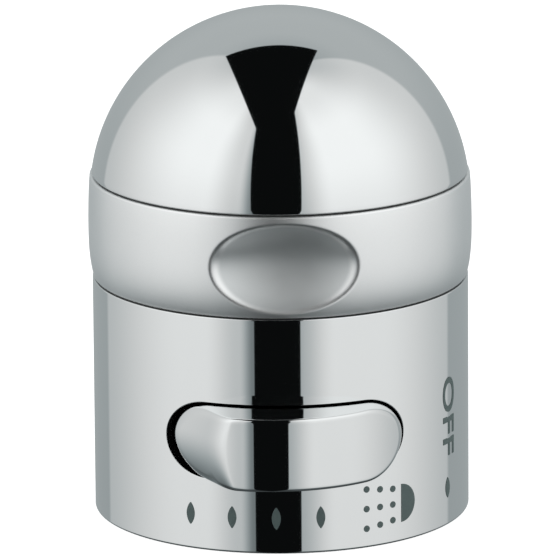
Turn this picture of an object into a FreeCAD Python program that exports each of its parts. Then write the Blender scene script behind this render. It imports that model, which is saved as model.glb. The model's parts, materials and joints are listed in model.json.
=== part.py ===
import FreeCAD, Part
import os
from math import cos, radians, sin, sqrt, tau

# Control handle of a shower mixer: a slotted sleeve, a grip ring with a thumb recess and a
# domed cap turn together on a stop ring that stays on the valve. A sprung push lever in the
# slot carries the pawl of the economy stop.
# Millimetres. +Z is the turning axis, z = 0 is the rim that stands on the valve, and the
# lever points along -Y, the front.

# Driving dimensions: outside
SLEEVE_R = 24.0
SLEEVE_TOP = 30.5
RIM_FILLET = 0.3
SEAM = 0.2                      # height of the two dark seams
RING_BOTTOM = SLEEVE_TOP + SEAM
RING_TOP = 43.85
DOME_BOTTOM = RING_TOP + SEAM
DOME_R = 24.24
DOME_CENTRE_Z = 40.72
DOME_WALL = 1.7
RING_PROFILE = [(23.87, RING_BOTTOM), (24.13, 31.83), (24.34, 33.42), (24.46, 35.61), (24.47, 38.19),
                (24.39, 41.37), (24.23, RING_TOP)]
RING_BORE_R = 20.0

# Thumb recess: an ellipsoid pressed into the front of the grip ring
RECESS_Z = 37.07
RECESS_FLOOR_Y = -21.0
RECESS_SEMI = (16.2, 9.0, 7.5)

# Slot and lever
SLOT_HALF = 14.95
SLOT_Z = 14.45
SLOT_HEIGHT = 9.9
LEVER_LEFT, LEVER_RIGHT = -14.3, 14.7
LEVER_HEIGHT = 9.45
LEVER_BACK_Y = -14.4
LEVER_TRAVEL = 2.5
CROWN_R = 18.1
CROWN_CENTRE = (-1.26, -11.74)
RIDGE_FILLET = 2.2
EDGE_FILLET = 0.9
LEVER_WALL = 2.2

# Sleeve inside
SLEEVE_BORE_R = 22.0
MOUTH_R, MOUTH_HEIGHT = 21.2, 2.0
LEDGE_R, LEDGE_BOTTOM, LEDGE_TOP = 17.4, 24.0, 26.5
SLEEVE_SCREW_R = 19.7

# Carrier
CARRIER_PLATE_R = 17.2
CARRIER_FLANGE_R, CARRIER_FLANGE_TOP = 21.8, 28.5
SPIGOT_R, SPIGOT_BORE_R = 19.8, 18.3
BOWL_FLOOR = 30.5
HUB_R, HUB_BOTTOM = 9.0, 9.7
FOOT_R, FOOT_BOTTOM, FOOT_FLAT_Y = 13.1, 8.2, -9.4
INSERT_R = 6.45

# Valve interfaces
NECK_R = 11.5
PILOT_R, PILOT_HEIGHT = 4.6, 4.0
SPLINE_TEETH, SPLINE_ROOT_R, SPLINE_TIP_R, SPLINE_TOP = 20, 4.05, 3.7, 20.5

# Stop ring, fixed on the valve neck
STOP_BOTTOM, STOP_WEB_TOP, STOP_STEP_TOP = 2.2, 3.6, 5.0
STOP_HUB_R, STOP_HUB_TOP = 13.2, 7.4
STOP_RIM_R, STOP_RIM_BORE_R, STOP_RIM_TOP = 20.6, 18.8, 7.8
TURN_LIMIT = 91.0
PIN_R, PIN_CIRCLE_R = 1.2, 15.2
ECONOMY_ANGLE, ECONOMY_HALF_WIDTH, ECONOMY_TOOTH_R = 68.25, 3.0, 16.6

# Dome snap fit
SKIRT_R, SKIRT_WALL, SKIRT_BOTTOM = 18.2, 1.5, 38.1
SNAP_Z, SNAP_WIRE_R, SNAP_RING_R = 40.9, 0.55, 18.0
SNAP_GROOVE_HALF = 0.6

# Lever slide and its guides
SLIDE_HALF, SLIDE_THICK, SLIDE_BOTTOM, SLIDE_TOP = 16.3, 2.2, 9.1, 20.8
SLIDE_BACK_Y = LEVER_BACK_Y + SLIDE_THICK
POST_X, POST_R, POST_END_Y = 12.0, 1.5, -3.4
PAWL_BOTTOM = 8.3
GUIDE_FRONT_Y, GUIDE_BACK_Y = -7.5, -2.5
GUIDE_PLATE_BOTTOM = 22.0
LEVER_SCREW_X = 7.0
M25_SHANK_R, M25_HOLE_R = 1.2, 1.25
SPRING_R, SPRING_WIRE_R, SPRING_TURNS = 2.15, 0.25, 4

AXIS = FreeCAD.Vector(0, 0, 1)
Y_AXIS = FreeCAD.Vector(0, 1, 0)
ORIGIN = FreeCAD.Vector(0, 0, 0)


def vec(x, y, z=0.0):
    return FreeCAD.Vector(x, y, z)


def disc(radius, low, high, x=0.0, y=0.0):
    return Part.makeCylinder(radius, high - low, vec(x, y, low), AXIS)


def tube(outer, inner, low, high):
    return disc(outer, low, high).cut(disc(inner, low - 1, high + 1))


def box(x, y, z):
    """A box from three (low, high) pairs."""
    return Part.makeBox(x[1] - x[0], y[1] - y[0], z[1] - z[0], vec(x[0], y[0], z[0]))


def rod(radius, x, z, front, back):
    """A cylinder along Y."""
    return Part.makeCylinder(radius, back - front, vec(x, front, z), Y_AXIS)


def on_circle(radius, angle):
    return radius * cos(radians(angle)), radius * sin(radians(angle))


def turned(edges):
    """The solid that a closed outline in the X-Z plane sweeps about the handle axis."""
    face = Part.Face(Part.Wire(Part.__sortEdges__(edges)))
    return face.revolve(ORIGIN, AXIS, 360)


def outline(points):
    """Straight edges through (radius, z) points."""
    ends = [vec(r, 0, z) for r, z in points]
    return [Part.makeLine(a, b) for a, b in zip(ends, ends[1:])]


def arc(start, middle, end):
    return Part.Arc(*[vec(r, 0, z) for r, z in (start, middle, end)]).toShape()


def sector(outer, inner, low, high, centre, half_angle):
    """A piece of a tube, half_angle degrees to each side of the centre angle."""
    wedge = Part.makeCylinder(outer, high - low, vec(0, 0, low), AXIS, 2 * half_angle)
    wedge.rotate(ORIGIN, AXIS, centre - half_angle)
    return wedge.cut(disc(inner, low - 1, high + 1))


def stadium(left, right, z, height, front, back):
    """A prism along Y with round left and right ends."""
    r = height / 2
    core = box((left + r, right - r), (front, back), (z - r, z + r))
    ends = [rod(r, x, z, front, back) for x in (left + r, right - r)]
    return core.fuse(ends).removeSplitter()


def screw_up(radius, head_r, head_height, x, y, seat, tip):
    """A screw that points up, its head under the seat, with a cross-head recess."""
    body = disc(radius, seat, tip, x, y).fuse(disc(head_r, seat - head_height, seat, x, y))
    depth = 0.6 * head_height
    low = seat - head_height
    for half_x, half_y in ((0.7 * head_r, 0.25), (0.25, 0.7 * head_r)):
        body = body.cut(box((x - half_x, x + half_x), (y - half_y, y + half_y), (low, low + depth)))
    return body


def handle_sleeve():
    corner = SLEEVE_R - RIM_FILLET
    bend = RIM_FILLET * sin(radians(45))
    section = outline([(SLEEVE_R, RIM_FILLET), (SLEEVE_R, SLEEVE_TOP), (SLEEVE_BORE_R, SLEEVE_TOP),
                       (SLEEVE_BORE_R, LEDGE_TOP), (LEDGE_R, LEDGE_TOP), (LEDGE_R, LEDGE_BOTTOM),
                       (SLEEVE_BORE_R, LEDGE_BOTTOM), (SLEEVE_BORE_R, MOUTH_HEIGHT + 0.8),
                       (MOUTH_R, MOUTH_HEIGHT), (MOUTH_R, 0), (corner, 0)])
    section.append(arc((corner, 0), (corner + bend, RIM_FILLET - bend), (SLEEVE_R, RIM_FILLET)))
    sleeve = turned(section)
    slot = stadium(-SLOT_HALF, SLOT_HALF, SLOT_Z, SLOT_HEIGHT, -SLEEVE_R - 2, -13)
    sleeve = sleeve.cut(slot)
    for angle in (90, 210, 330):
        x, y = on_circle(SLEEVE_SCREW_R, angle)
        sleeve = sleeve.cut(disc(M25_HOLE_R, LEDGE_BOTTOM - 1, LEDGE_TOP + 1, x, y))
    return sleeve


def grip_ring():
    side = Part.BSplineCurve()
    side.interpolate([vec(r, 0, z) for r, z in RING_PROFILE])
    seat_r, seat_z = RING_BORE_R + 1, RING_TOP - 1.2
    section = outline([RING_PROFILE[-1], (seat_r, RING_TOP), (seat_r, seat_z), (RING_BORE_R, seat_z),
                       (RING_BORE_R, RING_BOTTOM), RING_PROFILE[0]])
    ring = turned(section + [side.toShape()])
    stretch = FreeCAD.Matrix()
    stretch.scale(*RECESS_SEMI)
    thumb = Part.makeSphere(1.0).transformGeometry(stretch)
    thumb.translate(vec(0, RECESS_FLOOR_Y - RECESS_SEMI[1], RECESS_Z))
    ring = ring.cut(thumb)
    return ring.cut(rod(1.0, 0, RECESS_Z, 0, RING_BORE_R + 2))


def dome_cap():
    inner_r = DOME_R - DOME_WALL
    web_top = DOME_BOTTOM + 1.6
    slope = sin(radians(45))
    outer_foot = (sqrt(DOME_R**2 - (DOME_BOTTOM - DOME_CENTRE_Z)**2), DOME_BOTTOM)
    inner_foot = (sqrt(inner_r**2 - (web_top - DOME_CENTRE_Z)**2), web_top)
    skirt_bore = SKIRT_R - SKIRT_WALL
    groove_r = SNAP_RING_R - SNAP_WIRE_R - 0.05
    section = outline([(0, DOME_CENTRE_Z + DOME_R), (0, DOME_CENTRE_Z + inner_r)])
    section.append(arc((0, DOME_CENTRE_Z + inner_r),
                       (inner_r * slope, DOME_CENTRE_Z + inner_r * slope), inner_foot))
    section += outline([inner_foot, (skirt_bore, web_top), (skirt_bore, SKIRT_BOTTOM),
                        (SKIRT_R, SKIRT_BOTTOM), (SKIRT_R, SNAP_Z - SNAP_GROOVE_HALF),
                        (groove_r, SNAP_Z - SNAP_GROOVE_HALF), (groove_r, SNAP_Z + SNAP_GROOVE_HALF),
                        (SKIRT_R, SNAP_Z + SNAP_GROOVE_HALF), (SKIRT_R, DOME_BOTTOM), outer_foot])
    section.append(arc(outer_foot, (DOME_R * slope, DOME_CENTRE_Z + DOME_R * slope),
                       (0, DOME_CENTRE_Z + DOME_R)))
    return turned(section)


def seam_seal(seam_bottom, outer, lip_outer, lip_inner, lip_bottom):
    """A thin flange that fills a seam, with a lip that centres it."""
    flange = tube(outer, lip_inner, seam_bottom, seam_bottom + SEAM)
    return flange.fuse(tube(lip_outer, lip_inner, lip_bottom, seam_bottom + SEAM)).removeSplitter()


def inner_carrier():
    groove_r = SNAP_RING_R + SNAP_WIRE_R + 0.05
    spigot_top = RING_TOP - 0.2
    foot = disc(FOOT_R, FOOT_BOTTOM, HUB_BOTTOM)
    foot = foot.cut(box((-FOOT_R, FOOT_R), (-FOOT_R - 1, FOOT_FLAT_Y), (FOOT_BOTTOM - 1, HUB_BOTTOM)))
    leg = box((-4, 4), (12.2, CARRIER_PLATE_R), (HUB_BOTTOM, LEDGE_BOTTOM))
    leg = leg.common(disc(CARRIER_PLATE_R, 0, SLEEVE_TOP))
    body = foot.fuse([disc(HUB_R, HUB_BOTTOM, LEDGE_BOTTOM),
                      disc(CARRIER_PLATE_R, LEDGE_BOTTOM, LEDGE_TOP),
                      disc(CARRIER_FLANGE_R, LEDGE_TOP, CARRIER_FLANGE_TOP),
                      disc(SPIGOT_R, CARRIER_FLANGE_TOP, spigot_top), leg])
    body = body.cut(disc(SPIGOT_BORE_R, BOWL_FLOOR, spigot_top + 1))
    body = body.cut(disc(groove_r, SNAP_Z - SNAP_GROOVE_HALF, SNAP_Z + SNAP_GROOVE_HALF))
    body = body.cut(disc(INSERT_R + 0.05, FOOT_BOTTOM - 1, LEDGE_BOTTOM))
    body = body.cut(disc(2.7, LEDGE_BOTTOM - 1, BOWL_FLOOR + 1))
    body = body.cut(disc(PIN_R, HUB_BOTTOM - 1, 16, 0, PIN_CIRCLE_R))
    body = body.cut(rod(1.0, 0, RECESS_Z, SPIGOT_BORE_R - 2, SPIGOT_R + 1))
    for angle in (90, 210, 330):
        x, y = on_circle(SLEEVE_SCREW_R, angle)
        body = body.cut(disc(M25_HOLE_R, LEDGE_TOP - 1, CARRIER_FLANGE_TOP - 0.1, x, y))
    for x in (-13, 13):
        body = body.cut(disc(M25_HOLE_R, LEDGE_BOTTOM - 1, LEDGE_TOP - 0.2, x, 4))
    return body.removeSplitter()


def spline_insert():
    """Brass insert: a plain pilot at the mouth, then the spline, then the screw hole."""
    pilot_top = FOOT_BOTTOM + PILOT_HEIGHT
    rim = []
    for i in range(2 * SPLINE_TEETH):
        radius = SPLINE_ROOT_R if i % 2 else SPLINE_TIP_R
        rim.append(vec(radius * cos(tau * i / (2 * SPLINE_TEETH)),
                       radius * sin(tau * i / (2 * SPLINE_TEETH)), pilot_top))
    spline = Part.Face(Part.makePolygon(rim + rim[:1])).extrude(vec(0, 0, SPLINE_TOP - pilot_top))
    insert = disc(INSERT_R, FOOT_BOTTOM, LEDGE_BOTTOM)
    insert = insert.cut(disc(PILOT_R, FOOT_BOTTOM - 1, pilot_top))
    insert = insert.cut(spline)
    return insert.cut(disc(2.65, SPLINE_TOP - 1, LEDGE_BOTTOM + 1))


def fixing_washer():
    return tube(5.5, 2.7, BOWL_FLOOR, BOWL_FLOOR + 0.8)


def fixing_screw():
    """M5 socket screw that pulls the handle onto the valve spindle."""
    seat = BOWL_FLOOR + 0.8
    head_top = seat + 3.2
    screw = disc(2.5, seat - 14.8, seat).fuse(disc(4.25, seat, head_top))
    corners = [vec(*on_circle(2.3, 60 * i), head_top - 2) for i in range(7)]
    socket = Part.Face(Part.makePolygon(corners)).extrude(vec(0, 0, 3))
    return screw.cut(socket)


def sleeve_screws():
    places = [on_circle(SLEEVE_SCREW_R, angle) for angle in (90, 210, 330)]
    return Part.Compound([screw_up(M25_SHANK_R, 1.9, 1.8, x, y, LEDGE_BOTTOM, CARRIER_FLANGE_TOP - 0.2)
                          for x, y in places])


def guide_screws():
    return Part.Compound([screw_up(M25_SHANK_R, 2.1, 1.4, x, 4, GUIDE_PLATE_BOTTOM, LEDGE_TOP - 0.3)
                          for x in (-13, 13)])


def grip_ring_dowel():
    """Cross dowel at the back that keys the grip ring to the carrier."""
    return rod(1.0, 0, RECESS_Z, SPIGOT_BORE_R + 0.1, RING_BORE_R + 2)


def dome_snap_ring():
    """Open spring wire ring in the groove between cap and carrier."""
    ring = Part.makeTorus(SNAP_RING_R, SNAP_WIRE_R, vec(0, 0, SNAP_Z), AXIS)
    return ring.cut(box((-1.5, 1.5), (SNAP_RING_R - 2, SNAP_RING_R + 2), (SNAP_Z - 1, SNAP_Z + 1)))


def end_stop_pin():
    return disc(PIN_R, STOP_WEB_TOP + 0.3, 16, 0, PIN_CIRCLE_R)


def lever_guide():
    """Plate under the carrier with two legs that guide the posts of the slide."""
    guide = tube(CARRIER_PLATE_R - 0.1, HUB_R + 0.3, GUIDE_PLATE_BOTTOM, LEDGE_BOTTOM)
    guide = guide.cut(box((-5, 5), (11, 19), (GUIDE_PLATE_BOTTOM - 1, LEDGE_BOTTOM + 1)))
    for side in (-1, 1):
        inner, outer = sorted((side * (HUB_R + 0.4), side * 14.8))
        guide = guide.fuse(box((inner, outer), (GUIDE_FRONT_Y, GUIDE_BACK_Y), (10.8, LEDGE_BOTTOM)))
        guide = guide.cut(rod(POST_R + 0.05, side * POST_X, SLOT_Z, GUIDE_FRONT_Y - 1, GUIDE_BACK_Y + 1))
        guide = guide.cut(disc(M25_HOLE_R, GUIDE_PLATE_BOTTOM - 1, LEDGE_BOTTOM + 1, side * 13, 4))
    return guide.removeSplitter()


def scoop():
    """Cutter for the left flank: a concave arc that steepens towards the ridge."""
    foot, middle, neck = (-15.6, -17.4), (-12.3, -22.0), (-9.2, -27.4)
    far = [neck, (-6.0, -33.0), (-6.0, -34.0), (-20.0, -34.0), (-20.0, foot[1]), foot]
    points = [vec(*p, SLOT_Z - SLOT_HEIGHT) for p in far]
    edges = [Part.makeLine(a, b) for a, b in zip(points, points[1:])]
    edges.append(Part.Arc(*[vec(*p, SLOT_Z - SLOT_HEIGHT) for p in (foot, middle, neck)]).toShape())
    face = Part.Face(Part.Wire(Part.__sortEdges__(edges)))
    return face.extrude(vec(0, 0, 2 * SLOT_HEIGHT))


def push_lever():
    """Crowned pad with a scooped left flank, hollow behind."""
    body = stadium(LEVER_LEFT, LEVER_RIGHT, SLOT_Z, LEVER_HEIGHT, -32, LEVER_BACK_Y)
    crown = disc(CROWN_R, 0, SLEEVE_TOP, *CROWN_CENTRE)
    body = body.common(crown).cut(scoop())
    ridge = [e for e in body.Edges if e.BoundBox.ZLength > 5 and e.BoundBox.YMax < -27
             and e.BoundBox.XLength < 0.1]
    body = body.makeFillet(RIDGE_FILLET, ridge)
    front = [e for e in body.Edges if e.BoundBox.YMax < LEVER_BACK_Y - 1.0 and e.BoundBox.ZLength < 0.1]
    body = body.makeFillet(EDGE_FILLET, front)
    pocket = stadium(-4.5, LEVER_RIGHT - LEVER_WALL, SLOT_Z, LEVER_HEIGHT - 2 * LEVER_WALL, -32, LEVER_BACK_Y)
    pocket = pocket.common(disc(CROWN_R - LEVER_WALL, 0, SLEEVE_TOP, *CROWN_CENTRE))
    body = body.cut(pocket.cut(rod(2.4, LEVER_SCREW_X, SLOT_Z, -32, LEVER_BACK_Y)))
    for x in (-LEVER_SCREW_X, LEVER_SCREW_X):
        body = body.cut(rod(M25_HOLE_R, x, SLOT_Z, -21, LEVER_BACK_Y))
    return body


def lever_slide():
    slide = box((-SLIDE_HALF, SLIDE_HALF), (LEVER_BACK_Y, SLIDE_BACK_Y), (SLIDE_BOTTOM, SLIDE_TOP))
    for side in (-1, 1):
        slide = slide.fuse(rod(POST_R, side * POST_X, SLOT_Z, SLIDE_BACK_Y - 1, POST_END_Y))
        slide = slide.cut(rod(M25_HOLE_R, side * LEVER_SCREW_X, SLOT_Z, LEVER_BACK_Y - 1, SLIDE_BACK_Y + 1))
        slide = slide.cut(disc(0.7, SLIDE_BOTTOM - 1, SLIDE_BOTTOM + 2.4, side * 2.2, -13.3))
    return slide.removeSplitter()


def lever_screws():
    screws = []
    for x in (-LEVER_SCREW_X, LEVER_SCREW_X):
        screw = rod(M25_SHANK_R, x, SLOT_Z, -20.8, SLIDE_BACK_Y)
        screw = screw.fuse(rod(2.0, x, SLOT_Z, SLIDE_BACK_Y, SLIDE_BACK_Y + 1.2))
        slot = box((x - 1.5, x + 1.5), (SLIDE_BACK_Y + 0.6, SLIDE_BACK_Y + 2), (SLOT_Z - 0.25, SLOT_Z + 0.25))
        screws.append(screw.cut(slot))
    return Part.Compound(screws)


def economy_pawl():
    """Steel strip under the slide; its turned-down tip meets the teeth of the stop ring."""
    strip = box((-3.4, 3.4), (-16.2, SLIDE_BACK_Y - 0.1), (PAWL_BOTTOM, SLIDE_BOTTOM))
    neck = box((-1.0, 1.0), (-18.4, -16.0), (PAWL_BOTTOM, SLIDE_BOTTOM))
    tip = box((-1.0, 1.0), (-18.4, -17.2), (5.5, PAWL_BOTTOM + 0.1))
    pawl = strip.fuse([neck, tip]).removeSplitter()
    for x in (-2.2, 2.2):
        pawl = pawl.cut(disc(0.7, PAWL_BOTTOM - 1, SLIDE_BOTTOM + 1, x, -13.3))
    return pawl


def pawl_rivets():
    return Part.Compound([disc(0.7, PAWL_BOTTOM, SLIDE_BOTTOM + 2.4, x, -13.3) for x in (-2.2, 2.2)])


def return_spring(side):
    """Compression spring on a post, between the slide and its guide."""
    front = SLIDE_BACK_Y + SPRING_WIRE_R + 0.05
    length = GUIDE_FRONT_Y - SPRING_WIRE_R - 0.05 - front
    path = Part.makeHelix(length / SPRING_TURNS, length, SPRING_R)
    wire = Part.Wire(Part.makeCircle(SPRING_WIRE_R, vec(SPRING_R, 0), Y_AXIS))
    spring = Part.Wire(path).makePipeShell([wire], True, True)
    spring.rotate(ORIGIN, FreeCAD.Vector(1, 0, 0), -90)
    spring.translate(vec(side * POST_X, front, SLOT_Z))
    return spring


def stop_ring():
    """Fixed on the valve neck: end-stop step at the floor, economy teeth on the rim."""
    ring = tube(STOP_HUB_R, NECK_R, STOP_BOTTOM, STOP_HUB_TOP)
    ring = ring.fuse([tube(STOP_RIM_R, STOP_HUB_R - 0.5, STOP_BOTTOM, STOP_WEB_TOP),
                      tube(STOP_RIM_R, STOP_RIM_BORE_R, STOP_BOTTOM, STOP_RIM_TOP)])
    pin_half = 4.8
    free_half = TURN_LIMIT + pin_half
    step = sector(STOP_RIM_BORE_R + 0.5, STOP_HUB_R - 0.5, STOP_WEB_TOP - 0.2, STOP_STEP_TOP,
                  -90, 180 - free_half)
    teeth = [sector(STOP_RIM_BORE_R + 0.5, ECONOMY_TOOTH_R, STOP_STEP_TOP - 0.2, STOP_RIM_TOP,
                    -90 + side * ECONOMY_ANGLE, ECONOMY_HALF_WIDTH) for side in (-1, 1)]
    ring = ring.fuse([step] + teeth)
    key = box((-1.25, 1.25), (NECK_R - 1, NECK_R + 0.9), (0, STOP_HUB_TOP + 1))
    return ring.cut(key).removeSplitter()


def glide_washer():
    return tube(STOP_HUB_R - 0.1, NECK_R + 0.7, STOP_HUB_TOP, FOOT_BOTTOM)


def write(node, shape):
    shape.exportStep("parts/" + node + ".step")
    print(node, shape.isValid(), len(shape.Solids), "solid(s)", round(shape.Volume, 1), "mm3")


os.makedirs("parts", exist_ok=True)
for make in (stop_ring, glide_washer, handle_sleeve, grip_ring, dome_cap, inner_carrier, spline_insert,
             fixing_screw, fixing_washer, sleeve_screws, dome_snap_ring, grip_ring_dowel, lever_guide,
             guide_screws, end_stop_pin, push_lever, lever_slide, lever_screws, economy_pawl, pawl_rivets):
    write(make.__name__, make())
write("lower_seal", seam_seal(SLEEVE_TOP, SLEEVE_R - 0.35, SLEEVE_BORE_R - 0.1, SPIGOT_R + 0.7, SLEEVE_TOP - 1.8))
write("upper_seal", seam_seal(RING_TOP, SLEEVE_R - 0.3, RING_BORE_R + 0.9, RING_BORE_R, RING_TOP - 1.1))
for name, side in (("left", -1), ("right", 1)):
    write("return_spring_" + name, return_spring(side))
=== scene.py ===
# %% [markdown]
# # A shower valve handle in polished and satin chrome
#
# The handle is a tall slotted sleeve, a satin grip ring with a thumb recess, a domed cap and a
# push lever that stands out of the slot. The CAD model comes in first as a fixed frame. Around it
# we make the outer skins as clean meshes, because a mirror finish shows every facet and every
# crooked normal, and we give the hidden parts their finishes.
#
# X points right, Y points away from the front, Z points up, and everything is in metres.

# %% Load the CAD frame
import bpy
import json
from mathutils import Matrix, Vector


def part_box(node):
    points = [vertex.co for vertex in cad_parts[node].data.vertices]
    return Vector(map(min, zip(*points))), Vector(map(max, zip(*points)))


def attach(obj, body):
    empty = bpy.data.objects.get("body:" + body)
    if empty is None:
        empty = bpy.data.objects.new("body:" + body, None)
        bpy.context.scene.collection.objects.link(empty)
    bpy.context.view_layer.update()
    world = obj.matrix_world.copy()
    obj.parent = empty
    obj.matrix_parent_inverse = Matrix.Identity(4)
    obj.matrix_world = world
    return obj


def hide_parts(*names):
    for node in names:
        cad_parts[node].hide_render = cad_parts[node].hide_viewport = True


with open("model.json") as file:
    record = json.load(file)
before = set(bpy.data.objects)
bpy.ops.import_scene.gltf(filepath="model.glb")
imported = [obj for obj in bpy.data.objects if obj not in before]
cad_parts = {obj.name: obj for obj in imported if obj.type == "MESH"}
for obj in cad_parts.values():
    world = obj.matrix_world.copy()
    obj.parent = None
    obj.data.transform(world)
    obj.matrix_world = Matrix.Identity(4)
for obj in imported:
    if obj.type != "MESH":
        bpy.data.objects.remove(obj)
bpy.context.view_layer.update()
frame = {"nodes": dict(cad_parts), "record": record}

import json
from math import asin, cos, degrees, hypot, pi, radians, sin, sqrt, tau

import bmesh
import bpy
import numpy as np
from mathutils import Vector

MM = 0.001
nodes = frame["nodes"]

# %% [markdown]
# ## Sizes
#
# The boxes of the CAD nodes give the radii and heights, so a change in the CAD model moves the
# skins too. Only small looks, such as edge roundings, are new here. The meshes are worked out in
# millimetres, which are easier to read, and scaled once when they are made.

# %% Sizes from the frame, in millimetres


def box_mm(node):
    low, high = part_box(node)
    return low / MM, high / MM


_, sleeve_high = box_mm("handle_sleeve")
ring_low, ring_high = box_mm("grip_ring")
dome_low, dome_high = box_mm("dome_cap")
lever_low, lever_high = box_mm("push_lever")
_, seam_high = box_mm("upper_seal")

SLEEVE_R = sleeve_high.x
SLEEVE_TOP = sleeve_high.z
DOME_FOOT = seam_high.z
DOME_TOP = dome_high.z
RING_FOOT, RING_TOP = ring_low.z, ring_high.z
LEVER_BACK = lever_high.y
print(f"sleeve radius {SLEEVE_R:.2f}, height {DOME_TOP:.2f} mm")

# %% [markdown]
# ## Node graphs as Python
#
# Shader and geometry trees are both built by one small class. `add` makes any node from its type,
# its settings and its inputs. A number that comes out of a node is wrapped so that `+`, `*` and
# the other operators add Math nodes, which keeps a formula readable as a formula.

# %% The graph class


class Number:
    """A number socket in a graph. Arithmetic on it adds Math nodes."""

    def __init__(self, graph, socket):
        self.graph, self.socket = graph, socket

    def __add__(self, other):
        return self.graph.math("ADD", self, other)

    def __sub__(self, other):
        return self.graph.math("SUBTRACT", self, other)

    def __rsub__(self, other):
        return self.graph.math("SUBTRACT", other, self)

    def __mul__(self, other):
        return self.graph.math("MULTIPLY", self, other)

    def __truediv__(self, other):
        return self.graph.math("DIVIDE", self, other)

    def __neg__(self):
        return self.graph.math("MULTIPLY", self, -1.0)

    def __abs__(self):
        return self.graph.math("ABSOLUTE", self)

    def __gt__(self, other):
        return self.graph.math("GREATER_THAN", self, other)

    def __pow__(self, other):
        return self.graph.math("POWER", self, other)

    __radd__, __rmul__ = __add__, __mul__


class Graph:
    """Builds the nodes of one tree."""

    def __init__(self, tree, prefix="Shader"):
        self.tree, self.prefix = tree, prefix
        tree.nodes.clear()

    def add(self, kind, settings=None, inputs=None):
        """A node of that type: settings first, then inputs as {name or index: value or link}."""
        node = self.tree.nodes.new(kind)
        for name, value in (settings or {}).items():
            setattr(node, name, value)
        for key, value in (inputs or {}).items():
            self.feed(node.inputs[key], value)
        return node

    def feed(self, socket, value):
        if isinstance(value, Number):
            value = value.socket
        if isinstance(value, bpy.types.NodeSocket):
            self.tree.links.new(value, socket)
        else:
            socket.default_value = value

    def number(self, node, output=0):
        return Number(self, node.outputs[output])

    def axes(self, vector):
        """The X, Y and Z of a vector as numbers."""
        node = self.add("ShaderNodeSeparateXYZ", {}, {0: vector})
        return [self.number(node, axis) for axis in "XYZ"]

    def math(self, operation, *values):
        node = self.add("ShaderNodeMath", {"operation": operation}, dict(enumerate(values)))
        return self.number(node)

    def rise(self, value, start, end):
        """0 below start, 1 above end, smooth between. With start above end it falls."""
        low, high = min(start, end), max(start, end)
        result = self.add("ShaderNodeMapRange", {"interpolation_type": "SMOOTHSTEP"},
                          {"Value": value, "From Min": low, "From Max": high})
        step = self.number(result)
        return step if start < end else 1 - step

    def noise(self, vector, scale, detail=2.0, roughness=0.5):
        node = self.add("ShaderNodeTexNoise", {}, {"Vector": vector, "Scale": scale, "Detail": detail,
                                                   "Roughness": roughness})
        return self.number(node, "Fac")

    def mix(self, factor, first, second):
        """Two colours mixed."""
        node = self.add("ShaderNodeMix", {"data_type": "RGBA"}, {0: factor, 6: first, 7: second})
        return node.outputs[2]


def grey(level):
    return (level, level, level, 1.0)


# %% [markdown]
# ## Finishes
#
# Polished chrome is a metal with almost no roughness: all its colour comes from the studio, so the
# shader only adds what keeps it from looking computed, a slow change in gloss and a fine haze of
# wiping marks. Satin chrome is the same metal after blasting. Its roughness is much larger and a
# fine bump breaks the light into a soft grain. The plastics, brass, steel and rubber inside get
# short recipes of their own. Patterns read Object coordinates, so they stay on the metal.

# %% A material helper


def finish(name, colour, metallic, roughness, recipe):
    """A Principled material. recipe(graph, shader, place) links colour, roughness or normal."""
    material = bpy.data.materials.new(name)
    material.use_nodes = True
    graph = Graph(material.node_tree)
    shader = graph.add("ShaderNodeBsdfPrincipled", {}, {
        "Base Color": colour, "Metallic": metallic, "Roughness": roughness})
    output = graph.add("ShaderNodeOutputMaterial")
    graph.feed(output.inputs["Surface"], shader.outputs["BSDF"])
    recipe(graph, shader, graph.add("ShaderNodeTexCoord").outputs["Object"])
    return material


def bump(graph, shader, height, depth_mm, strength):
    node = graph.add("ShaderNodeBump", {}, {"Height": height, "Distance": depth_mm * MM,
                                            "Strength": strength})
    graph.feed(shader.inputs["Normal"], node.outputs["Normal"])


# %% Chrome, polished and satin
# Inside these distances the satin is rougher, and its colour is darkened as painted shade in the thumb
# recess.
RECESS_STARTS, RECESS_FULL = 24.0, 23.5  # distance from the axis, mm


def polish(graph, shader, place):
    """Slow changes of gloss, and a faint haze in patches."""
    slow = graph.noise(place, 55.0, detail=2.0)
    haze = graph.noise(place, 900.0, detail=4.0, roughness=0.65)
    graph.feed(shader.inputs["Roughness"], 0.018 + slow * 0.018 + haze * 0.016)
    tint = graph.mix(slow, (0.795, 0.812, 0.818, 1), (0.815, 0.828, 0.83, 1))
    graph.feed(shader.inputs["Base Color"], tint)


def blast(graph, shader, place):
    """The grain of a blasted and plated surface, coarser in the recess, where painted shade also darkens
    its colour.
    """
    grain = graph.noise(place, 5200.0, detail=2.0, roughness=0.6)
    cloud = graph.noise(place, 420.0, detail=3.0)
    x, y, _ = graph.axes(place)
    recess_roughness_and_shade = graph.rise((x * x + y * y) ** 0.5 / MM, RECESS_STARTS, RECESS_FULL)
    graph.feed(shader.inputs["Roughness"], 0.3 + cloud * 0.05 + grain * 0.06 + recess_roughness_and_shade * 0.12)
    tint = graph.mix(grain * 0.6 + cloud * 0.4, (0.89, 0.905, 0.91, 1), (0.99, 0.995, 0.995, 1))
    # Painted shade: the base colour turns darker inside the thumb recess.
    graph.feed(shader.inputs["Base Color"], graph.mix(recess_roughness_and_shade * 0.85, tint, (0.72, 0.745, 0.75, 1)))
    bump(graph, shader, grain + cloud * 0.5, 0.006, 0.6)


chrome = finish("polished_chrome", (0.805, 0.82, 0.825, 1), 1.0, 0.03, polish)
satin = finish("satin_chrome", (0.82, 0.83, 0.83, 1), 1.0, 0.36, blast)


# %% Plastics, rubber, brass and steel
TOOL_FEED = 0.12  # distance between the rings of a turned part, mm


def moulding(graph, shader, place):
    """The fine even texture of a spark-eroded mould."""
    texture = graph.noise(place, 2600.0, detail=3.0)
    graph.feed(shader.inputs["Roughness"], 0.42 + texture * 0.2)
    bump(graph, shader, texture, 0.02, 0.4)


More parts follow.
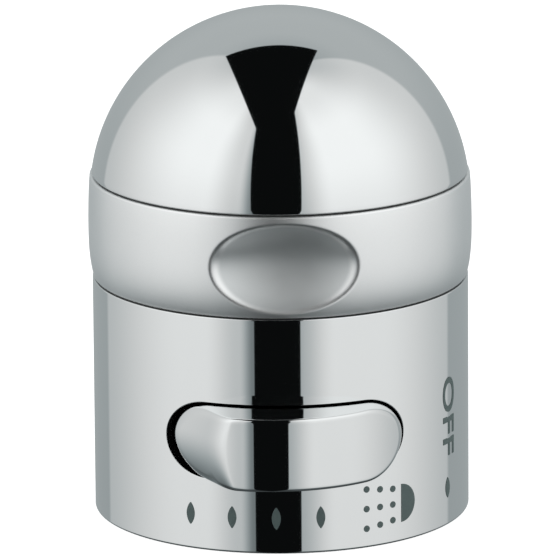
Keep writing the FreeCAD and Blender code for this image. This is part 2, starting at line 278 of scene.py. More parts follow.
def turning(graph, shader, place):
    """Rings left by a lathe, worked out from the distance to the handle's axis and the height."""
    x, y, z = graph.axes(place)
    reach = (x * x + y * y) ** 0.5 + z
    ring = graph.math("SINE", reach * (tau / (TOOL_FEED * MM)))
    graph.feed(shader.inputs["Roughness"], 0.24 + ring * 0.04 + graph.noise(place, 700.0) * 0.1)
    bump(graph, shader, ring, 0.003, 0.4)


black_plastic = finish("black_acetal", (0.012, 0.012, 0.013, 1), 0.0, 0.5, moulding)
white_plastic = finish("white_acetal", (0.78, 0.78, 0.75, 1), 0.0, 0.45, moulding)
rubber = finish("seal_rubber", (0.012, 0.013, 0.013, 1), 0.0, 0.6, moulding)
brass = finish("turned_brass", (0.78, 0.58, 0.28, 1), 1.0, 0.3, turning)
steel = finish("turned_steel", (0.62, 0.63, 0.64, 1), 1.0, 0.3, turning)
spring_steel = finish("spring_wire", (0.4, 0.4, 0.41, 1), 1.0, 0.32, turning)
FINISHES = {"chrome": chrome, "satin_chrome": satin, "black_plastic": black_plastic,
            "white_plastic": white_plastic, "seal": rubber, "brass": brass, "steel": steel,
            "spring_steel": spring_steel}

# %% Every CAD node gets the finish of its slot
for part in frame["record"]["subparts"]:
    mesh = nodes[part["node"]].data
    mesh.materials.clear()
    mesh.materials.append(FINISHES[part["material_slot"]])
print("finishes:", len(FINISHES))

# %% [markdown]
# ## Mesh helpers
#
# A turned part is one outline carried round the axis. `lathe` takes a function of the angle, so
# that the outline may change on its way round, which is how the thumb recess gets into the ring.
# A smooth wall next to a sharp corner is left sharp by angle, and a mirror-bright round wall gets
# its exact normals afterwards.

# %% Making pieces


def piece(name, points, faces, material, body, stands_for=(), crease=40):
    """A mesh piece in millimetres that rides on a body. stands_for names the CAD nodes it replaces."""
    mesh = bpy.data.meshes.new(name)
    mesh.from_pydata([Vector(p) * MM for p in points], [], faces)
    shape = bmesh.new()
    shape.from_mesh(mesh)
    bmesh.ops.remove_doubles(shape, verts=shape.verts, dist=0.002 * MM)
    bmesh.ops.recalc_face_normals(shape, faces=shape.faces)
    shape.to_mesh(mesh)
    shape.free()
    mesh.shade_smooth()
    mesh.set_sharp_from_angle(angle=radians(crease))
    mesh.materials.append(material)
    made = bpy.data.objects.new(name, mesh)
    bpy.context.scene.collection.objects.link(made)
    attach(made, body)
    if stands_for:
        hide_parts(*stands_for)
    print(f"{name}: {len(mesh.polygons)} faces")
    return made


def exact_normals(made, rule):
    """Gives the corners of a round wall their true normals. rule(x, y, z) in millimetres returns
    the outward direction there, or None where the mesh's own normal is right."""
    mesh = made.data
    normals = [tuple(corner.vector) for corner in mesh.corner_normals]
    for face in mesh.polygons:
        exact = [rule(*(mesh.vertices[v].co / MM)) for v in face.vertices]
        if all(exact):
            for corner, direction in zip(face.loop_indices, exact):
                normals[corner] = tuple(Vector(direction).normalized())
    mesh.normals_split_custom_set(normals)


def grid_faces(columns, rows, wrap_rows=True, skip=lambda column, row: False):
    """Faces of a grid that closes round its columns."""
    faces = []
    for column in range(columns):
        after = (column + 1) % columns
        for row in range(rows if wrap_rows else rows - 1):
            above = (row + 1) % rows
            if not skip(column, row):
                faces.append([column * rows + row, after * rows + row,
                              after * rows + above, column * rows + above])
    return faces


def loop_faces(count, levels, first=0):
    """Faces between closed loops of count points each, one loop after another."""
    faces = []
    for level in range(levels - 1):
        near, far = first + level * count, first + (level + 1) * count
        for i in range(count):
            after = (i + 1) % count
            faces.append([near + i, near + after, far + after, far + i])
    return faces


def around(angle, radius, z):
    """A point at that angle from the front, positive to the right."""
    return radius * sin(angle), -radius * cos(angle), z


def lathe(angles, outline):
    """The points of an outline, outline(angle) -> [(radius, z), ...], carried round, and the number
    of points in each column."""
    columns = [outline(angle) for angle in angles]
    points = [around(angle, r, z) for angle, column in zip(angles, columns) for r, z in column]
    return points, len(columns[0])


def even_turn(count):
    return [tau * i / count for i in range(count)]


def bend(centre, radius, start, end, steps):
    """Points of an arc in the outline plane; angles in degrees from the outward direction."""
    r0, z0 = centre
    turns = np.linspace(radians(start), radians(end), steps + 1)
    return [(r0 + radius * cos(t), z0 + radius * sin(t)) for t in turns]


# %% [markdown]
# ## Dome cap
#
# The cap is a thin shell. Outside it is almost a hemisphere, and under its foot a skirt snaps into
# the carrier. It stands slightly inside the ring's top edge, so a narrow ledge of ring shows below
# it, and its foot edge has a tiny rounding that catches a line of light. One closed outline carried
# round the axis makes it, with the pole closed by merging its points.

# %% Dome cap
DOME_R = 24.24
DOME_CENTRE = DOME_TOP - DOME_R
DOME_WALL = 1.7
FOOT_ROUND = 0.15
SKIRT_R, SKIRT_WALL = 18.2, 1.5
WEB = 1.6
DOME_COLUMNS = 192


def dome_outline(_):
    foot_angle = degrees(asin((DOME_FOOT + FOOT_ROUND - DOME_CENTRE) / DOME_R))
    foot_r = DOME_R * cos(radians(foot_angle))
    outer = bend((0, DOME_CENTRE), DOME_R, 90, foot_angle, 72)
    foot = bend((foot_r - FOOT_ROUND, DOME_FOOT + FOOT_ROUND), FOOT_ROUND, -20, -90, 4)
    web = DOME_FOOT + WEB
    skirt = [(SKIRT_R, DOME_FOOT), (SKIRT_R, dome_low.z), (SKIRT_R - SKIRT_WALL, dome_low.z),
             (SKIRT_R - SKIRT_WALL, web)]
    inner_r = DOME_R - DOME_WALL
    inside_angle = degrees(asin((web - DOME_CENTRE) / inner_r))
    return outer + foot + skirt + bend((0, DOME_CENTRE), inner_r, inside_angle, 90, 24)


points, rows = lathe(even_turn(DOME_COLUMNS), dome_outline)
piece("dome_shell", points, grid_faces(DOME_COLUMNS, rows, wrap_rows=False), chrome, "handle",
      ["dome_cap"])

# %% [markdown]
# ## Grip ring
#
# The ring is satin, so the hand finds it. Its side bulges slightly, rounds in towards the sleeve and
# stands a third of a millimetre proud of the dome. The thumb recess is an ellipsoid pressed into the
# front. Its edge is soft, which a smooth minimum of the two surfaces gives. Columns are packed close
# across the recess and wide apart behind, where nothing happens.

# %% Grip ring
RECESS_Z = 37.07
RECESS_FLOOR = 21.0
RECESS_SEMI = (16.2, 9.0, 7.5)
RECESS_SOFT = 0.4
EDGE, TOP_EDGE = 0.18, 0.3
RING_BORE = 20.0
REBATE, REBATE_DEPTH = 1.0, 1.2
RECESS_SPAN = 27
RING_SIDE = [(RING_FOOT, 23.87), (31.83, 24.13), (33.42, 24.34), (35.61, 24.46), (38.19, 24.47),
             (41.37, 24.39), (RING_TOP, 24.23)]


def ring_side(z):
    """Radius of the ring's side: a smooth curve through its few key points."""
    heights, radii = zip(*RING_SIDE)
    return float(np.polyval(np.polyfit(np.subtract(heights, RECESS_Z), radii, 4), z - RECESS_Z))


def recess(angle, z):
    """Distance from the axis to the recess ellipsoid along a level ray, or a large number."""
    a, b, c = RECESS_SEMI
    slant = 1 - ((z - RECESS_Z) / c) ** 2
    across, along = sin(angle) / a, cos(angle) / b
    reach = (RECESS_FLOOR + b) * cos(angle) / b**2
    square = across**2 + along**2
    root = reach**2 - square * (((RECESS_FLOOR + b) / b) ** 2 - slant)
    if slant <= 0 or root <= 0 or cos(angle) < 0.5:
        return 99.0
    return (reach - sqrt(root)) / square


def smooth_min(first, second, soft):
    """The smaller of two numbers, rounded where they cross."""
    gap = max(soft - abs(first - second), 0) / soft
    return min(first, second) - gap * gap * soft / 4


def ring_outline(angle):
    side = []
    for z in np.linspace(RING_FOOT + EDGE, RING_TOP - TOP_EDGE, 84):
        side.append((smooth_min(ring_side(z), recess(angle, z), RECESS_SOFT), z))
    foot_r, top_r = side[0][0], side[-1][0]
    foot = bend((foot_r - EDGE, RING_FOOT + EDGE), EDGE, -90, -15, 4)
    top = bend((top_r - TOP_EDGE, RING_TOP - TOP_EDGE), TOP_EDGE, 10, 90, 5)
    shelf = RING_TOP - REBATE_DEPTH
    bore = [(RING_BORE + REBATE, RING_TOP), (RING_BORE + REBATE, shelf), (RING_BORE, shelf),
            (RING_BORE, RING_FOOT)]
    return foot + side + top + bore


front_angles = [radians(a) for a in np.linspace(-RECESS_SPAN, RECESS_SPAN, 190)]
back_angles = [radians(a) for a in np.linspace(RECESS_SPAN, 360 - RECESS_SPAN, 154)[1:-1]]
angles = front_angles + back_angles
points, rows = lathe(angles, ring_outline)
piece("grip_ring_skin", points, grid_faces(len(angles), rows), satin, "handle",
      ["grip_ring"], crease=50)

# %% [markdown]
# ## Slotted sleeve
#
# The sleeve is a mirror cylinder with a long slot, the hardest case for a mesh: a boolean would leave
# slivers round the slot, and each sliver bends the reflections. So the wall is a regular grid with a
# window left out at the front, and the window is filled with loops that change from the window's
# rectangle to the slot's stadium. Every point stays exactly on the cylinder. The slot's rim gets a
# small rounding, then the loops run through the wall to the same window in the bore.

# %% Sleeve outline
BORE_R = 22.0
MOUTH_R, MOUTH_TOP, MOUTH_BEVEL = 21.2, 2.0, 0.8
LEDGE_R, LEDGE_LOW, LEDGE_HIGH = 17.4, 24.0, 26.5
RIM_ROUND = 0.3
TOP_ROUND = 0.12
WINDOW_LOW, WINDOW_HIGH = 5, 23
WINDOW_HALF, COLUMN_STEP = 54, 2  # degrees
window_rows = list(range(WINDOW_LOW, WINDOW_HIGH + 1))
outer_side = [(SLEEVE_R, z) for z in window_rows]
outer_rim = bend((SLEEVE_R - RIM_ROUND, RIM_ROUND), RIM_ROUND, -90, 0, 8)
outer_top = bend((SLEEVE_R - TOP_ROUND, SLEEVE_TOP - TOP_ROUND), TOP_ROUND, 0, 90, 4)
inner_side = [(BORE_R, z) for z in reversed(window_rows)]
sleeve_column = (outer_rim + outer_side + outer_top
                 + [(BORE_R, SLEEVE_TOP), (BORE_R, LEDGE_HIGH), (LEDGE_R, LEDGE_HIGH),
                    (LEDGE_R, LEDGE_LOW), (BORE_R, LEDGE_LOW)]
                 + inner_side + [(BORE_R, MOUTH_TOP + MOUTH_BEVEL), (MOUTH_R, MOUTH_TOP), (MOUTH_R, 0)])
columns = 360 // COLUMN_STEP
sleeve_angles = [radians(-WINDOW_HALF + COLUMN_STEP * i) for i in range(columns)]
window_columns = 2 * WINDOW_HALF // COLUMN_STEP
first_outer = len(outer_rim)
first_inner = sleeve_column.index(inner_side[0])


def in_window(column, row):
    inside_outer = first_outer <= row < first_outer + len(window_rows) - 1
    inside_inner = first_inner <= row < first_inner + len(window_rows) - 1
    return column < window_columns and (inside_outer or inside_inner)


# %% The slot
SLOT_HALF, SLOT_Z, SLOT_R = 14.95, 14.45, 4.95
SLOT_ROUND = 0.1
FAN_LOOPS, RIM_STEPS = 13, 5
CORNER_PULL = 0.12  # how far the window's ends aim inwards, so that the fan stays even


def window_rectangle():
    """The window's corners and edge points, anticlockwise as (angle, z)."""
    across = sleeve_angles[:window_columns + 1]
    bottom = [(a, WINDOW_LOW) for a in across[:-1]]
    right = [(across[-1], z) for z in window_rows[:-1]]
    top = [(a, WINDOW_HIGH) for a in reversed(across[1:])]
    left = [(across[0], z) for z in reversed(window_rows[1:])]
    return bottom + right + top + left


def slot_point(aim_x, aim_z, out):
    """The point of the slot's edge, moved out, that lies towards an aim point."""
    middle = SLOT_HALF - SLOT_R
    near = min(max(aim_x, -middle), middle)
    away = Vector((aim_x - near, aim_z - SLOT_Z)).normalized()
    return near + away.x * (SLOT_R + out), SLOT_Z + away.y * (SLOT_R + out)


def slot_loops():
    """Loops of points from the window in the outer wall, through the slot, to that in the bore."""
    rectangle = window_rectangle()
    aims = []
    for angle, z in rectangle:
        reach = min(abs(angle) / radians(WINDOW_HALF), 1)
        aims.append((SLEEVE_R * angle * (1 - CORNER_PULL * reach), z))
    loops = []
    for wall, order in ((SLEEVE_R, 1), (BORE_R, -1)):
        fan = []
        for step in np.linspace(0, 1, FAN_LOOPS):
            loop = []
            for (angle, z), (aim_x, aim_z) in zip(rectangle, aims):
                slot_x, slot_z = slot_point(aim_x, aim_z, SLOT_ROUND if wall == SLEEVE_R else 0)
                edge_angle = asin(slot_x / wall)
                loop.append(around(angle + (edge_angle - angle) * step, wall, z + (slot_z - z) * step))
            fan.append(loop)
        loops.append(fan[::order])
    rim = []
    for turn in np.linspace(0, pi / 2, RIM_STEPS + 1)[1:]:
        loop = []
        for aim_x, aim_z in aims:
            x, z = slot_point(aim_x, aim_z, SLOT_ROUND * (1 - sin(turn)))
            wall = SLEEVE_R - SLOT_ROUND * (1 - cos(turn))
            loop.append((x, -sqrt(wall**2 - x**2), z))
        rim.append(loop)
    return loops[0] + rim + loops[1]


points, rows = lathe(sleeve_angles, lambda _: sleeve_column)
faces = grid_faces(columns, rows, skip=in_window)
loops = slot_loops()
faces += loop_faces(len(loops[0]), len(loops), first=len(points))
points += [p for loop in loops for p in loop]
sleeve = piece("sleeve_skin", points, faces, chrome, "handle", ["handle_sleeve"])
WALL_SLACK = 0.004


def sleeve_wall(x, y, z):
    """Straight out from the axis on the round wall, and nothing elsewhere."""
    on_radius = abs(hypot(x, y) - SLEEVE_R) < WALL_SLACK
    on_height = RIM_ROUND - 0.01 < z < SLEEVE_TOP - TOP_ROUND + 0.01
    return (x, y, 0) if on_radius and on_height else None


exact_normals(sleeve, sleeve_wall)

# %% [markdown]
# ## Push lever
#
# The lever is a stadium seen from the front. Its pad is part of a cylinder wider than the sleeve, and
# its left flank is scooped out for the fingertip, with a soft ridge between. So its front is a height
# field: the depth at a point is the smooth minimum of pad and flank. Loops that follow the stadium
# from its edge inwards carry it, and the first few of them roll the edge over in a quarter circle.

# %% Lever front
CROWN_R, CROWN_X, CROWN_DEPTH = 18.1, -1.26, 11.74
FLANK_ARC = [(-15.6, 17.4), (-12.3, 22.0), (-9.2, 27.4)]
FLANK_BARREL, FLANK_BARREL_RISE = 13.0, 0.5
RIDGE_SOFT = 1.8
CRISP_EDGE, FULL_EDGE = 0.45, 1.0
CRISP_FROM, CRISP_FADE = -5.0, 6.0
SPINE_GAP = 0.6
lever_half = (lever_high.z - lever_low.z) / 2
lever_z = (lever_high.z + lever_low.z) / 2
lever_ends = (lever_low.x + lever_half, lever_high.x - lever_half)


def circle_through(points):
    """Centre and radius of the circle through three points."""
    rows = [[2 * x, 2 * y, 1] for x, y in points]
    x, y, rest = np.linalg.solve(rows, [x * x + y * y for x, y in points])
    return x, y, sqrt(rest + x * x + y * y)


FLANK_X, FLANK_DEPTH, FLANK_R = circle_through(FLANK_ARC)


def flank_depth(x):
    """The scoop: a concave arc, then a straight slope."""
    neck = FLANK_ARC[-1][0]
    reach = min(x, neck) - FLANK_X
    root = sqrt(FLANK_R**2 - reach**2)
    return FLANK_DEPTH - root + max(x - neck, 0) * reach / root


def front_depth(x, z):
    """How far the lever's front stands out at that place."""
    pad = CROWN_DEPTH + sqrt(CROWN_R**2 - (x - CROWN_X) ** 2)
    barrel = FLANK_BARREL - sqrt(FLANK_BARREL**2 - (z - lever_z - FLANK_BARREL_RISE) ** 2)
    return smooth_min(pad, flank_depth(x - barrel), RIDGE_SOFT)


def edge_radius(x):
    """The edge is crisp on the pad and full on the flank."""
    fade = min(max((CRISP_FROM - x) / CRISP_FADE, 0), 1)
    return CRISP_EDGE + (FULL_EDGE - CRISP_EDGE) * fade * fade * (3 - 2 * fade)


def lever_loop(inset, depth):
    """One loop round the stadium: inset from its edge, at a depth given for each place."""
    loop = []
    radius = lever_half - inset
    straight = lever_ends[1] - lever_ends[0]
    for side, end in ((1, lever_ends[1]), (-1, lever_ends[0])):
        for t in np.linspace(0, 1, 57)[:-1]:
            turn = pi * t - pi / 2
            loop.append((end + side * radius * cos(turn), lever_z + side * radius * sin(turn)))
        for t in np.linspace(0, 1, 81)[:-1]:
            loop.append((end - side * straight * t, lever_z + side * radius))
    return [(x, -depth(x, z), z) for x, z in loop]


def lever_mesh():
    """Loops from the middle of the flat back, round the edge, to the spine of the front."""
    loops = [lever_loop(0, lambda x, z: -LEVER_BACK)]
    for turn in np.linspace(0, pi / 2, 13):
        loop = []
        for x, y, z in lever_loop(0, lambda x, z: 0):
            radius = edge_radius(x)
            near = min(max(x, lever_ends[0]), lever_ends[1])
            away = Vector((x - near, z - lever_z)).normalized()
            shift = radius * (1 - cos(turn))
            x, z = x - away.x * shift, z - away.y * shift
            loop.append((x, -(front_depth(x, z) - radius * (1 - sin(turn))), z))
        loops.append(loop)
    rim = loops[-1]
    for step in np.linspace(0, 1, 22)[1:]:
        loop = []
        for x, y, z in rim:
            z = z + (lever_z - z) * step
            near = min(max(x, lever_ends[0] + SPINE_GAP), lever_ends[1] - SPINE_GAP)
            x = x + (near - x) * step
            loop.append((x, -front_depth(x, z), z))
        loops.append(loop)
    for inset in np.linspace(0, lever_half, 8)[1:]:
        loops.insert(0, lever_loop(inset, lambda x, z: -LEVER_BACK))
    return loops


loops = lever_mesh()
points = [p for loop in loops for p in loop]
piece("push_lever_skin", points, loop_faces(len(loops[0]), len(loops)), chrome, "push_lever",
      ["push_lever"], crease=50)

# %% [markdown]
# ## Printed marks
#
# Thin dark grey marks lie on the sleeve: four leaves along the foot, nine dots beside half a disc (the
# sign for a shower), the word OFF for the closed position and one more leaf under it. All of them are
# drawn flat, as width along the sleeve and height, and then wrapped on the cylinder. The leaves and
# dots repeat, so one Geometry Nodes tree instances a single outline in a row or a grid, wraps it and
# gives it its thickness.

# %% Print
PRINT_LIFT, PRINT_THICK = 0.008, 0.03


def ink(graph, shader, place):
    """Pad print: slightly uneven colour and gloss."""
    patch = graph.noise(place, 1500.0, detail=3.0)
    tint = graph.mix(patch, (0.085, 0.125, 0.123, 1), (0.115, 0.16, 0.157, 1))
    graph.feed(shader.inputs["Base Color"], tint)
    graph.feed(shader.inputs["Roughness"], 0.4 + patch * 0.2)


print_ink = finish("grey_print", (0.1, 0.14, 0.138, 1), 0.0, 0.5, ink)


def print_tree():
    """Rows or grids of one outline, wrapped on the sleeve and made solid."""
    tree = bpy.data.node_groups.new("wrapped_print", "GeometryNodeTree")
    sockets = [("Columns", "NodeSocketInt", 4), ("Rows", "NodeSocketInt", 1),
               ("Column Step", "NodeSocketFloat", 0.0), ("Row Step", "NodeSocketFloat", 0.0),
               ("Fan", "NodeSocketFloat", 0.0), ("Start", "NodeSocketVector", (0, 0, 0)),
               ("Width", "NodeSocketFloat", 0.001),
               ("Height", "NodeSocketFloat", 0.001), ("Pointed", "NodeSocketFloat", 0.0),
               ("Sleeve Radius", "NodeSocketFloat", 0.024), ("Thickness", "NodeSocketFloat", 0.00003),
               ("Material", "NodeSocketMaterial", None)]
    tree.interface.new_socket("Geometry", in_out="INPUT", socket_type="NodeSocketGeometry")
    for name, kind, default in sockets:
        socket = tree.interface.new_socket(name, in_out="INPUT", socket_type=kind)
        if default is not None:
            socket.default_value = default
    tree.interface.new_socket("Geometry", in_out="OUTPUT", socket_type="NodeSocketGeometry")
    graph = Graph(tree)
    given = graph.add("NodeGroupInput").outputs

    def value(name):
        return Number(graph, given[name])

    def join_xyz(x, y, z):
        return graph.add("ShaderNodeCombineXYZ", {}, {0: x, 1: y, 2: z}).outputs[0]

    circle = graph.add("GeometryNodeMeshCircle", {"fill_type": "NGON"}, {"Vertices": 28, "Radius": 1.0})
    x, y, _ = graph.axes(graph.add("GeometryNodeInputPosition").outputs[0])
    narrow = 1 - value("Pointed") * (1 - abs(x))
    flat = join_xyz(x * narrow * value("Width") * 0.5, 0.0, y * value("Height") * 0.5)
    outline = graph.add("GeometryNodeSetPosition", {}, {"Geometry": circle.outputs[0], "Position": flat})

    number = graph.number(graph.add("GeometryNodeInputIndex"))
    row = graph.math("FLOOR", (number + 0.5) / value("Columns"))
    column = number - row * value("Columns")
    start_x, _, start_z = graph.axes(given["Start"])
    spread = ((value("Rows") - 1) * 0.5 - row) * value("Row Step") * (1 - value("Fan") * column)
    spot = join_xyz(start_x + column * value("Column Step"), 0.0, start_z + spread)
    spots = graph.add("GeometryNodePoints", {}, {
        "Count": value("Columns") * value("Rows"), "Position": spot})
    copies = graph.add("GeometryNodeInstanceOnPoints", {}, {
        "Points": spots.outputs[0], "Instance": outline.outputs[0]})
    real = graph.add("GeometryNodeRealizeInstances", {}, {0: copies.outputs[0]})

    x, _, z = graph.axes(graph.add("GeometryNodeInputPosition").outputs[0])
    turn = x / value("Sleeve Radius")
    wrapped = join_xyz(graph.math("SINE", turn) * value("Sleeve Radius"),
                       -(graph.math("COSINE", turn) * value("Sleeve Radius")), z)
    sheet = graph.add("GeometryNodeSetPosition", {}, {"Geometry": real.outputs[0], "Position": wrapped})
    raised = graph.add("GeometryNodeExtrudeMesh", {"mode": "FACES"}, {
        "Mesh": sheet.outputs[0], "Offset Scale": value("Thickness"), "Individual": False})
    under = graph.add("GeometryNodeFlipFaces", {}, {0: sheet.outputs[0]})
    both = graph.add("GeometryNodeJoinGeometry")
    graph.feed(both.inputs[0], raised.outputs[0])
    graph.feed(both.inputs[0], under.outputs[0])
    closed = graph.add("GeometryNodeMergeByDistance", {}, {"Geometry": both.outputs[0], "Distance": 1e-7})
    solid = graph.add("GeometryNodeRealizeInstances", {}, {0: closed.outputs[0]})
    inked = graph.add("GeometryNodeSetMaterial", {}, {
        "Geometry": solid.outputs[0], "Material": given["Material"]})
    graph.add("NodeGroupOutput", {}, {0: inked.outputs[0]})
    return tree


PRINT = print_tree()
PLAIN_NUMBERS = ("Pointed", "Fan")


def printed(name, **values):
    """Runs the tree once and keeps its result as a plain mesh. Lengths are given in millimetres."""
    holder = bpy.data.objects.new(name, bpy.data.meshes.new(name))
    bpy.context.scene.collection.objects.link(holder)
    modifier = holder.modifiers.new("print", "NODES")
    modifier.node_group = PRINT
    identifiers = {item.name: item.identifier for item in PRINT.interface.items_tree
                   if item.in_out == "INPUT"}
    settings = {"Sleeve Radius": SLEEVE_R + PRINT_LIFT, "Thickness": PRINT_THICK, "Material": print_ink}
    settings.update({key.replace("_", " "): value for key, value in values.items()})
    for key, value in settings.items():
        if isinstance(value, float):
            value = value if key in PLAIN_NUMBERS else value * MM
        if isinstance(value, tuple):
            value = [v * MM for v in value]
        modifier[identifiers[key]] = value
    seen = holder.evaluated_get(bpy.context.evaluated_depsgraph_get())
    mesh = bpy.data.meshes.new_from_object(seen)
    holder.modifiers.remove(modifier)
    holder.data = mesh
    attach(holder, "handle")
    print(f"{name}: {len(mesh.polygons)} faces")


def along(angle):
    """Distance along the sleeve's surface for an angle from the front, in millimetres."""
    return radians(angle) * SLEEVE_R


printed("print_leaves", Columns=4, Rows=1, Column_Step=along(13.5), Start=(along(-30.1), 0.0, 4.65),
        Width=1.15, Height=2.9, Pointed=0.75)
printed("print_leaf_off", Columns=1, Rows=1, Start=(along(60.2), 0.0, 5.0),
        Width=1.15, Height=2.7, Pointed=0.75)
printed("print_dots", Columns=3, Rows=3, Column_Step=along(4.65), Row_Step=2.58, Fan=0.1,
        Start=(along(25.1), 0.0, 5.1), Width=0.85, Height=0.85, Pointed=0.0)


# %% Half disc and word


def wrapped_solid(name, flat_points, flat_faces):
    """A flat outline of (width, height) points, wrapped on the sleeve and closed."""
    points = []
    for radius in (SLEEVE_R + PRINT_LIFT, SLEEVE_R + PRINT_LIFT + PRINT_THICK):
        points += [around(x / SLEEVE_R, radius, z) for x, z in flat_points]
    count = len(flat_points)
    uses = {}
    for face in flat_faces:
        for a, b in zip(face, face[1:] + face[:1]):
            uses[(a, b)] = uses.get((a, b), 0) + 1
    rim = [(a, b) for a, b in uses if (b, a) not in uses]
    faces = [[v + count for v in face] for face in flat_faces]
    faces += [list(reversed(face)) for face in flat_faces]
    faces += [[a, b, b + count, a + count] for a, b in rim]
    piece(name, points, faces, print_ink, "handle")


def half_disc(start, width, height, centre_z, steps=8):
    """Columns of a half ellipse with its flat side to the left."""
    points, faces = [], []
    for i in range(steps + 1):
        across = sin(pi / 2 * i / steps)
        reach = max(sqrt(1 - across * across), 0.02) * height / 2
        points += [(start + width * across, centre_z + side * reach) for side in (-1, 1)]
    for i in range(steps):
        faces.append([2 * i, 2 * i + 2, 2 * i + 3, 2 * i + 1])
    return points, faces


wrapped_solid("print_half_disc", *half_disc(along(37.6), 2.3, 5.0, 5.06))


def word(text, angle, low, high, width):
    """Letters from the built-in font, turned to read downwards and fitted to a box."""
    curve = bpy.data.curves.new(text, "FONT")
    curve.body = text
    curve.offset = 0.015
    holder = bpy.data.objects.new(text, curve)
    bpy.context.scene.collection.objects.link(holder)
    seen = holder.evaluated_get(bpy.context.evaluated_depsgraph_get())
    letters = bpy.data.meshes.new_from_object(seen)
    bpy.data.objects.remove(holder)
    spots = [v.co.copy() for v in letters.vertices]
    left, right_end = min(p.x for p in spots), max(p.x for p in spots)
    base, cap = min(p.y for p in spots), max(p.y for p in spots)
    flat = [(along(angle) + ((p.y - base) / (cap - base) - 0.5) * width,
             high - (p.x - left) / (right_end - left) * (high - low)) for p in spots]
    return flat, [list(face.vertices) for face in letters.polygons]


wrapped_solid("print_off", *word("OFF", 61.0, 9.2, 19.5, 3.0))

# %% [markdown]
# ## Studio
#
# The floor is plain and pale. The light is a white tent: a long wall to the left, one to the right, a
# grey wall behind, open above and with a dark gap in front. Polished metal is only as good as what it
# mirrors, so the tent is drawn in the world shader, where each wall is a plane seen by its direction.
# The camera itself sees plain white.

# %% World
CAMERA_AZIMUTH = -1.3
world = bpy.data.worlds.new("light_tent")
bpy.context.scene.world = world
world.use_nodes = True
tent = Graph(world.node_tree)
direction = tent.add("ShaderNodeTexCoord").outputs["Generated"]
turned = tent.add("ShaderNodeVectorRotate", {"rotation_type": "Z_AXIS"},
                  {"Vector": direction, "Angle": radians(-CAMERA_AZIMUTH)})
right, back, up = tent.axes(turned.outputs[0])
front = -back
left = -right
EDGE_SOFT = 0.01
BACK_GLOW = 0.46
rise = tent.rise
turn_left = tent.math("DEGREES", tent.math("ARCTAN2", left, front))
turn_right = tent.math("DEGREES", tent.math("ARCTAN2", right, front))
height_angle = tent.math("DEGREES", tent.math("ARCSINE", up))


def tent_side(side, gap_front, gap_up, top, glow, turn, corner):
    """One side wall and its half of the back wall: lit beyond the front edge and below the top edge."""
    beyond = rise(side - front * gap_front - up * gap_up, 0, EDGE_SOFT)
    below = rise(tent.math("MAXIMUM", top, back * 2.0) - up, 0, 2 * EDGE_SOFT)
    behind = rise(turn - corner, -2, 2)
    return beyond * below * (glow * (1 - behind) + behind * BACK_GLOW) * (side > 0)


left_glow = (0.25 + 0.45 * rise(turn_left, 17, 26) + 0.3 * rise(turn_left, 26, 48)
             - 0.37 * rise(turn_left, 62, 140))
right_glow = 0.55 + 0.45 * rise(turn_right, 10, 34) - 0.34 * rise(turn_right, 62, 130)
left_side = tent_side(left, 0.305, 0.064, left * 2.8 + front * 0.32, left_glow, turn_left,
                      height_angle * 0.11 + 135)
right_side = tent_side(right, 0.22, 0.054, right * 4.5 + front * 0.62, right_glow, turn_right,
                       height_angle * 0.167 + 127)
low_shade = 0.08 + 0.77 * rise(height_angle, -40, -10) + 0.15 * rise(height_angle, -10, 30)
shade = low_shade * (1 - 0.16 * rise(height_angle, 48, 72)) * 1.09
level = (left_side + right_side) * shade + 0.004
cool = tent.mix(rise(level, 0.1, 0.8), (0.87, 1.0, 1.03, 1), (0.99, 1.0, 0.995, 1))
glow = tent.add("ShaderNodeBackground", {}, {"Color": cool, "Strength": level})
paper = tent.add("ShaderNodeBackground", {}, {"Color": grey(1.0), "Strength": 1.0})
seen = tent.add("ShaderNodeLightPath").outputs["Is Camera Ray"]
blend = tent.add("ShaderNodeMixShader", {}, {0: seen, 1: glow.outputs[0], 2: paper.outputs[0]})
tent.add("ShaderNodeOutputWorld", {}, {"Surface": blend.outputs[0]})

# %% Floor
FLOOR_REACH = 12.0
FLOOR_Z = -0.05 * MM  # just under the rim, so the two never share a plane


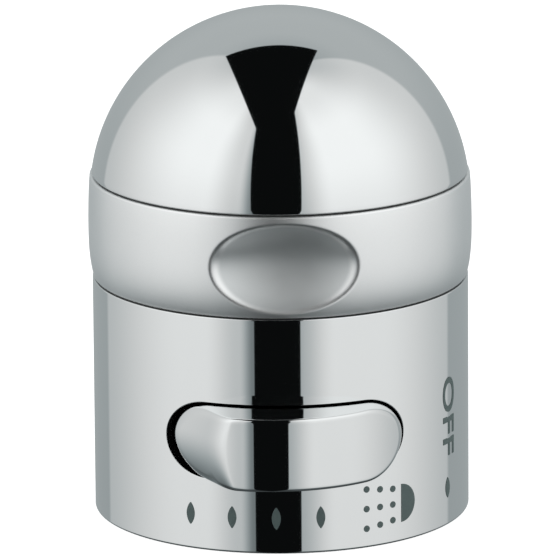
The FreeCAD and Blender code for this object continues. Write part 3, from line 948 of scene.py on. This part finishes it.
def floor_material():
    material = bpy.data.materials.new("paper_floor")
    material.use_nodes = True
    graph = Graph(material.node_tree)
    matt = graph.add("ShaderNodeBsdfDiffuse", {}, {"Color": grey(0.85)})
    lift = graph.add("ShaderNodeEmission", {}, {"Color": grey(1.0), "Strength": 0.75})
    both = graph.add("ShaderNodeAddShader", {}, {0: matt.outputs[0], 1: lift.outputs[0]})
    seen = graph.add("ShaderNodeLightPath").outputs["Is Camera Ray"]
    blend = graph.add("ShaderNodeMixShader", {}, {0: seen, 1: matt.outputs[0], 2: both.outputs[0]})
    graph.add("ShaderNodeOutputMaterial", {}, {"Surface": blend.outputs[0]})
    return material


floor_mesh = bpy.data.meshes.new("floor")
corners = [(x * FLOOR_REACH, y * FLOOR_REACH, FLOOR_Z) for x, y in ((-1, -1), (1, -1), (1, 1), (-1, 1))]
floor_mesh.from_pydata(corners, [], [(0, 1, 2, 3)])
floor_mesh.materials.append(floor_material())
floor = bpy.data.objects.new("floor", floor_mesh)
bpy.context.scene.collection.objects.link(floor)
floor.visible_glossy = False
floor.visible_shadow = False

# %% Camera
CAMERA_ELEVATION = 14.71
CAMERA_DISTANCE = 1.1344
CAMERA_ROLL = 0.43
VIEW_WIDTH = 71.62 * MM
AIM = Vector((-0.06 * MM, 0, 29.45 * MM))
camera_data = bpy.data.cameras.new("camera")
camera_data.sensor_width = 36.0
camera_data.lens = camera_data.sensor_width * CAMERA_DISTANCE / VIEW_WIDTH
camera_data.clip_end = 50.0
camera = bpy.data.objects.new("camera", camera_data)
bpy.context.scene.collection.objects.link(camera)
azimuth, elevation = radians(CAMERA_AZIMUTH), radians(CAMERA_ELEVATION)
away = Vector((sin(azimuth) * cos(elevation), -cos(azimuth) * cos(elevation), sin(elevation)))
camera.location = AIM + away * CAMERA_DISTANCE
aim_turn = (-away).to_track_quat("-Z", "Y").to_matrix().to_4x4()
camera.rotation_euler = aim_turn.to_euler()
camera.rotation_euler.rotate_axis("Z", radians(-CAMERA_ROLL))
bpy.context.scene.camera = camera
bpy.context.scene.view_settings.view_transform = "Standard"
